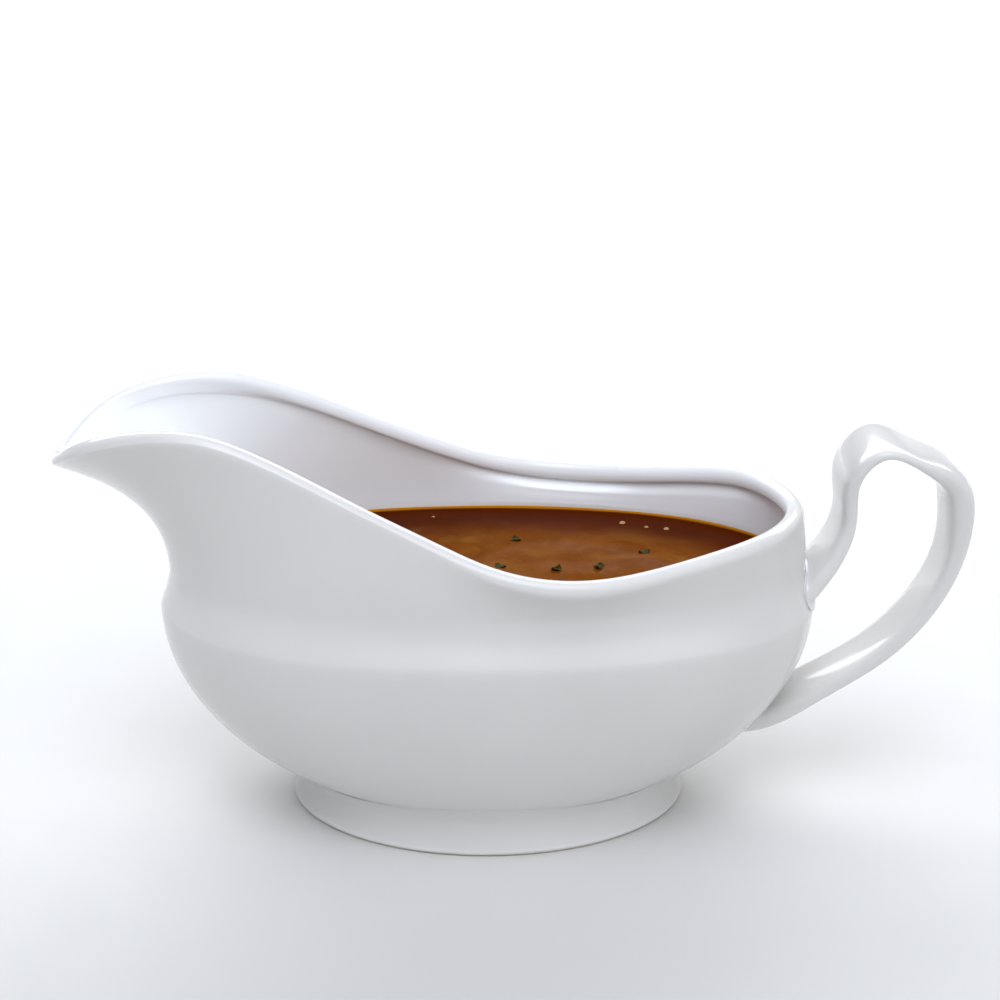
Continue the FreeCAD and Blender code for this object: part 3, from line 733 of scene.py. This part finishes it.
def build_fat(material):
    """Beads of clear fat that float on the gravy: low domes with a thin skirt."""
    parts = []
    turn = np.linspace(0, 2 * math.pi, BEAD_COLUMNS, endpoint=False)
    for number, solid in enumerate(small_solids("fat_beads")):
        low, high = solid.min(0), solid.max(0)
        centre, radius = (low + high) / 2, (high - low)[:2].max() / 2
        centre[2] = GRAVY_LEVEL
        rings = []
        for share, up in FAT_OUTLINE:
            wobble = 1 + 0.05 * np.sin(2 * turn + number) * share
            ring = np.stack([np.cos(turn) * wobble, np.sin(turn) * wobble, np.zeros_like(turn)], -1)
            rings.append(centre + ring * share * radius + UP * up * radius)
        parts.append(closed_tube(rings, shares=(0.5,)))
    add_mesh("fat_droplets", *joined(parts), material, "fat", ["fat_beads"])


# ---------------------------------------------------------------- materials

# painted shade and light: the outside glaze is darker and warmer, the inside glaze lighter and bluer, as
# shaded and lit copies of one white glaze
GLAZE_OUTSIDE_SHADED, GLAZE_OUTSIDE_SHADED_CLOUD = (0.698, 0.688, 0.67), (0.717, 0.708, 0.69)
GLAZE_INSIDE_LIT, GLAZE_INSIDE_LIT_CLOUD = (0.93, 0.955, 0.98), (0.945, 0.965, 0.985)
# the first is pooled glaze, darkened further as painted shade in creases and hollows
GLAZE_POOLED_AND_SHADED, GLAZE_THIN = (0.67, 0.685, 0.70), (0.84, 0.835, 0.825)
SPECK_COLOUR = (0.42, 0.36, 0.29)
CLAY_COLOUR, CLAY_GRAIN = (0.62, 0.58, 0.51), (0.72, 0.69, 0.63)
GRAVY_DARK, GRAVY_MIDDLE, GRAVY_LIGHT = (0.125, 0.031, 0.001), (0.172, 0.050, 0.003), (0.21, 0.077, 0.010)
# the first is painted shadow: the gravy's colour where the bowl's wall shades it
GRAVY_WALL_SHADOW, GRAVY_GOLD, GRAVY_PEPPER = (0.07, 0.009, 0.0002), (0.46, 0.18, 0.004), (0.03, 0.012, 0.003)
HERB_DARK, HERB_LIGHT, HERB_VEIN = (0.020, 0.017, 0.002), (0.050, 0.043, 0.006), (0.080, 0.070, 0.012)
FAT_COLOUR, FAT_CLOUD = (0.82, 0.50, 0.13), (0.92, 0.74, 0.38)
FLOOR_COLOUR, FLOOR_CLOUD = (0.655, 0.648, 0.634), (0.67, 0.664, 0.652)
BARE_CLAY = (1.25 * MM, 1.05 * MM)             # from glazed to bare, going down the foot
WALL_SHADOW_BAND = (24.0, 8.0)                        # mm from the wall where the painted shadow of the wall on the gravy begins and where it is full
GOLDEN_FILM = (1.3, 0.45)                      # mm from the wall where its thin edge turns golden


class Nodes:
    """Short ways to add nodes to a node tree."""

    def __init__(self, tree):
        self.tree = tree

    def set(self, node, values):
        """Links or sets the inputs of a node, by name or by number; a colour is a tuple of three."""
        for name, value in values.items():
            socket = node.inputs[name]
            if isinstance(value, bpy.types.NodeSocket):
                self.tree.links.new(value, socket)
            else:
                socket.default_value = (*value, 1) if isinstance(value, tuple) else value

    def add(self, kind, values=None, **settings):
        node = self.tree.nodes.new("ShaderNode" + kind)
        for name, value in settings.items():
            setattr(node, name, value)
        self.set(node, values or {})
        return node

    def maths(self, operation, first, second=0.0):
        return self.add("Math", {0: first, 1: second}, operation=operation).outputs[0]


class Shading(Nodes):
    """A new material and its patterns."""

    def __init__(self, name, **settings):
        self.material = bpy.data.materials.new(name)
        self.material.use_nodes = True
        super().__init__(self.material.node_tree)
        self.shader = self.tree.nodes["Principled BSDF"]
        self.set(self.shader, settings)
        self.place = self.add("TexCoord").outputs["Object"]

    def noise(self, size, detail=2.0, warp=0.0, roughness=0.5):
        """Cloudy pattern, 0 to 1, whose blotches are about so many millimetres across."""
        values = {"Vector": self.place, "Scale": 1 / (size * MM), "Detail": detail, "Distortion": warp,
                  "Roughness": roughness}
        return self.add("TexNoise", values).outputs["Fac"]

    def dots(self, spacing, radius, share, soft=0.4):
        """Round dots in a share of the cells of a random pattern; sizes in millimetres."""
        cells = self.add("TexVoronoi", {"Vector": self.place, "Scale": 1 / (spacing * MM)})
        size = radius / spacing
        chance = self.add("SeparateColor", {"Color": cells.outputs["Color"]}).outputs[0]
        edge = self.maths("MULTIPLY", self.spread(chance, 1 - share, 1), size)
        dot = self.maths("SUBTRACT", edge, cells.outputs["Distance"])
        return self.spread(dot, 0, size * soft)

    def spread(self, value, low, high, start=0.0, end=1.0, kind="LINEAR"):
        """Maps low..high to start..end and stays between those."""
        values = {"Value": value, "From Min": low, "From Max": high, "To Min": start, "To Max": end}
        return self.add("MapRange", values, interpolation_type=kind).outputs[0]

    def blend(self, share, first, second):
        """Colour between two colours."""
        mix = self.add("Mix", data_type="RGBA")
        self.set(mix, {0: share, 6: first, 7: second})
        return mix.outputs[2]

    def attribute(self, name):
        return self.add("Attribute", attribute_name=name).outputs["Fac"]

    def bump(self, *layers):
        """Relief made of (pattern, height in mm) layers."""
        normal = None
        for pattern, height in layers:
            values = {"Height": pattern, "Strength": 1.0, "Distance": height * MM}
            if normal is not None:
                values["Normal"] = normal
            normal = self.add("Bump", values).outputs[0]
        self.set(self.shader, {"Normal": normal})


def glaze_material():
    """White glazed porcelain: clear glossy glaze, darker and warmer outside as painted shade and lighter
    and bluer inside as painted light, darker in hollows partly from pooling and partly as painted shade,
    bare clay under the foot.
    """
    shading = Shading("porcelain_glaze", IOR=1.52)
    cloud = shading.spread(shading.noise(26, 3), 0.3, 0.7)
    # painted shade on the outside, painted light on the inside
    outer = shading.blend(cloud, GLAZE_OUTSIDE_SHADED, GLAZE_OUTSIDE_SHADED_CLOUD)
    lit_inside = shading.blend(cloud, GLAZE_INSIDE_LIT, GLAZE_INSIDE_LIT_CLOUD)
    body = shading.blend(shading.attribute("inside"), outer, lit_inside)
    hollow = shading.attribute("hollow")
    # partly glaze pooling, partly painted shade: hollows and creases such as under the lip turn darker
    # and bluer
    body = shading.blend(shading.spread(hollow, 0.05, 0.9, 0, 0.6), body, GLAZE_POOLED_AND_SHADED)
    body = shading.blend(shading.spread(hollow, -0.3, -0.9, 0, 0.5), body, GLAZE_THIN)
    specks = shading.maths("MULTIPLY", shading.dots(13, 0.16, 0.5), 0.45)
    body = shading.blend(specks, body, SPECK_COLOUR)

    height = shading.add("SeparateXYZ", {"Vector": shading.place}).outputs[2]
    ragged = shading.maths("MULTIPLY", shading.noise(3, 4), 0.9 * MM)
    bare = shading.spread(shading.maths("ADD", height, ragged), *BARE_CLAY)
    grit = shading.spread(shading.noise(0.35, 2), 0.35, 0.65)
    clay = shading.blend(grit, CLAY_COLOUR, CLAY_GRAIN)
    gloss = shading.spread(shading.noise(9, 3), 0.25, 0.75, 0.07, 0.13)
    rough = shading.maths("ADD", gloss, shading.maths("MULTIPLY", bare, 0.62))
    shading.set(shading.shader, {"Base Color": shading.blend(bare, body, clay), "Roughness": rough})
    peel = shading.noise(3.2, 1)
    ripple = shading.noise(14, 2)
    grain = shading.maths("MULTIPLY", grit, bare)
    shading.bump((ripple, 0.055), (peel, 0.012), (grain, 0.03))
    return shading.material


def gravy_material():
    """Brown gravy: slow swirls, a film of tiny fat droplets, painted shadow of the wall along its edge
    and a golden thin edge.
    """
    shading = Shading("gravy_liquid", IOR=1.05)
    swirl = shading.spread(shading.noise(17, 4, warp=1.6), 0.32, 0.68)
    body = shading.blend(swirl, GRAVY_DARK, GRAVY_MIDDLE)
    milky = shading.spread(shading.noise(30, 3, warp=2.2), 0.46, 0.72, kind="SMOOTHSTEP")
    body = shading.blend(milky, body, GRAVY_LIGHT)
    streak = shading.spread(shading.noise(5, 5, warp=3.0, roughness=0.6), 0.5, 0.75)
    body = shading.blend(shading.maths("MULTIPLY", streak, 0.35), body, GRAVY_LIGHT)
    droplets = shading.dots(1.7, 0.32, 0.35)
    body = shading.blend(shading.maths("MULTIPLY", droplets, 0.3), body, GRAVY_GOLD)
    pepper = shading.dots(4.2, 0.22, 0.3)
    body = shading.blend(shading.maths("MULTIPLY", pepper, 0.7), body, GRAVY_PEPPER)

    # painted shadow of the bowl's wall, over a band along the wall with a wavering edge
    wander = shading.maths("MULTIPLY", shading.noise(12, 2), 3.0)
    gap = shading.maths("ADD", shading.attribute("from_wall"), wander)
    body = shading.blend(shading.spread(gap, *WALL_SHADOW_BAND, 0, 0.95, "SMOOTHSTEP"), body, GRAVY_WALL_SHADOW)
    film = shading.spread(shading.attribute("from_wall"), *GOLDEN_FILM, kind="SMOOTHSTEP")
    body = shading.blend(film, body, GRAVY_GOLD)
    gloss = shading.spread(shading.noise(11, 3), 0.3, 0.7, 0.10, 0.22)
    shading.set(shading.shader, {"Base Color": body, "Roughness": gloss})
    shading.bump((shading.noise(7, 3, warp=1.0), 0.12), (shading.noise(1.3, 2), 0.015), (droplets, 0.02))
    return shading.material


def herb_material():
    """Chopped olive-green herb, wet, darker where it is bruised."""
    shading = Shading("herb_leaf", IOR=1.08)
    patch = shading.spread(shading.noise(0.9, 4), 0.35, 0.65)
    leaf = shading.blend(patch, HERB_DARK, HERB_LIGHT)
    vein = shading.spread(shading.noise(0.3, 2, warp=1.5), 0.62, 0.7)
    leaf = shading.blend(shading.maths("MULTIPLY", vein, 0.6), leaf, HERB_VEIN)
    gloss = shading.spread(patch, 0, 1, 0.22, 0.45)
    shading.set(shading.shader, {"Base Color": leaf, "Roughness": gloss})
    shading.bump((shading.noise(0.4, 3), 0.04))
    return shading.material


def fat_material():
    """Clear golden fat with a few cloudy threads."""
    shading = Shading("melted_fat", IOR=1.46, **{"Transmission Weight": 0.55})
    cloud = shading.spread(shading.noise(0.8, 3, warp=1.0), 0.4, 0.7)
    body = shading.blend(cloud, FAT_COLOUR, FAT_CLOUD)
    gloss = shading.spread(cloud, 0, 1, 0.03, 0.10)
    shading.set(shading.shader, {"Base Color": body, "Roughness": gloss})
    shading.bump((shading.noise(0.6, 1), 0.01))
    return shading.material


def floor_material():
    """Matt white table top with a barely uneven finish."""
    shading = Shading("pale_table", IOR=1.35)
    cloud = shading.spread(shading.noise(120, 3), 0.3, 0.7)
    tone = shading.blend(cloud, FLOOR_COLOUR, FLOOR_CLOUD)
    rough = shading.spread(shading.noise(18, 3), 0.3, 0.7, 0.5, 0.62)
    shading.set(shading.shader, {"Base Color": tone, "Roughness": rough})
    shading.bump((shading.noise(1.4, 2), 0.02))
    return shading.material


# ---------------------------------------------------------------- stage, light, camera

VIEW_TARGET = Vector((0.0030, 0.0, 0.0773))
VIEW_ELEVATION, VIEW_AZIMUTH = math.radians(21.0), math.radians(-0.49)
VIEW_DISTANCE = 0.4499
LENS = 67.2


def build_camera():
    data = bpy.data.cameras.new("camera")
    data.lens = LENS
    data.clip_start = 0.01
    camera = bpy.data.objects.new("camera", data)
    level = math.cos(VIEW_ELEVATION)
    away = Vector((math.sin(VIEW_AZIMUTH) * level, -math.cos(VIEW_AZIMUTH) * level,
                   math.sin(VIEW_ELEVATION)))
    camera.location = VIEW_TARGET + away * VIEW_DISTANCE
    camera.rotation_euler = (-away).to_track_quat("-Z", "Y").to_euler()
    bpy.context.scene.collection.objects.link(camera)
    bpy.context.scene.camera = camera


def area_light(name, location, target, size, power, colour):
    data = bpy.data.lights.new(name, "AREA")
    data.shape = "RECTANGLE"
    data.size, data.size_y = size
    data.energy = power
    data.color = colour
    light = bpy.data.objects.new(name, data)
    light.location = location
    light.rotation_euler = (Vector(target) - Vector(location)).to_track_quat("-Z", "Y").to_euler()
    bpy.context.scene.collection.objects.link(light)


FLOOR_REACH = 12.0

# soft patches of pale sky: where they are, how tight, how strong, and their colour
SKY_PATCHES = [
    ((0.0, -0.3, 1.0), 16, 3.3, (0.92, 0.97, 1.10)),
    ((0.0, -0.6, 0.9), 16, 2.6, (0.97, 0.99, 1.03)),
    ((0.7, -0.7, 0.6), 16, 1.1, (1.0, 1.0, 1.0)),
    ((-0.5, 0.0, 0.9), 16, 0.5, (0.92, 0.97, 1.10)),
]
SKY_BASE = Vector((0.94, 0.98, 1.06)) * 0.20
SKY_EDGE, SKY_EDGE_TOP = Vector((0.97, 0.985, 1.0)) * 0.75, 0.16
FAR_PANEL = dict(location=(0.0, 1.7, 1.2), target=(0.0, 1.7, 0.0), size=(3.4, 1.8), power=73,
                 colour=(0.95, 0.97, 1.0))


def build_world():
    """Pale studio seen by the boat: even light, bright patches high in front, and a pale skyline."""
    world = bpy.data.worlds.new("studio")
    bpy.context.scene.world = world
    world.use_nodes = True
    nodes = Nodes(world.node_tree)
    where = nodes.add("TexCoord").outputs["Generated"]
    height = nodes.add("SeparateXYZ", {0: where}).outputs["Z"]
    edge = nodes.add("Math", {0: height, 1: -1 / SKY_EDGE_TOP, 2: 1.0}, operation="MULTIPLY_ADD",
                     use_clamp=True)
    lights = [(edge.outputs[0], SKY_EDGE)]
    for direction, tightness, strength, colour in SKY_PATCHES:
        towards = {0: where, 1: Vector(direction).normalized()}
        facing = nodes.add("VectorMath", towards, operation="DOT_PRODUCT").outputs["Value"]
        patch = nodes.maths("POWER", nodes.maths("MAXIMUM", facing), tightness)
        lights.append((patch, Vector(colour) * strength))
    total = SKY_BASE
    for share, colour in lights:
        tinted = nodes.add("VectorMath", {0: colour, "Scale": share}, operation="SCALE").outputs[0]
        total = nodes.add("VectorMath", {0: tinted, 1: total}).outputs[0]
    nodes.set(world.node_tree.nodes["Background"], {"Color": total})


def build_stage(material):
    mesh = bpy.data.meshes.new("floor")
    reach = FLOOR_REACH
    mesh.from_pydata([(-reach, -reach, 0), (reach, -reach, 0), (reach, reach, 0), (-reach, reach, 0)], [],
                     [(0, 1, 2, 3)])
    floor = bpy.data.objects.new("floor", mesh)
    bpy.context.scene.collection.objects.link(floor)
    mesh.materials.append(material)
    build_world()
    area_light("far_panel", **FAR_PANEL)
    bpy.context.scene.view_settings.view_transform = "Standard"


glaze = glaze_material()
bowl_shape = BowlShape()
bowl_surface = build_bowl(bowl_shape, glaze)
build_foot(bowl_shape, glaze)
build_handle(bowl_surface, glaze)
build_gravy(bowl_shape, gravy_material())
build_herbs(herb_material())
build_fat(fat_material())
build_stage(floor_material())
build_camera()
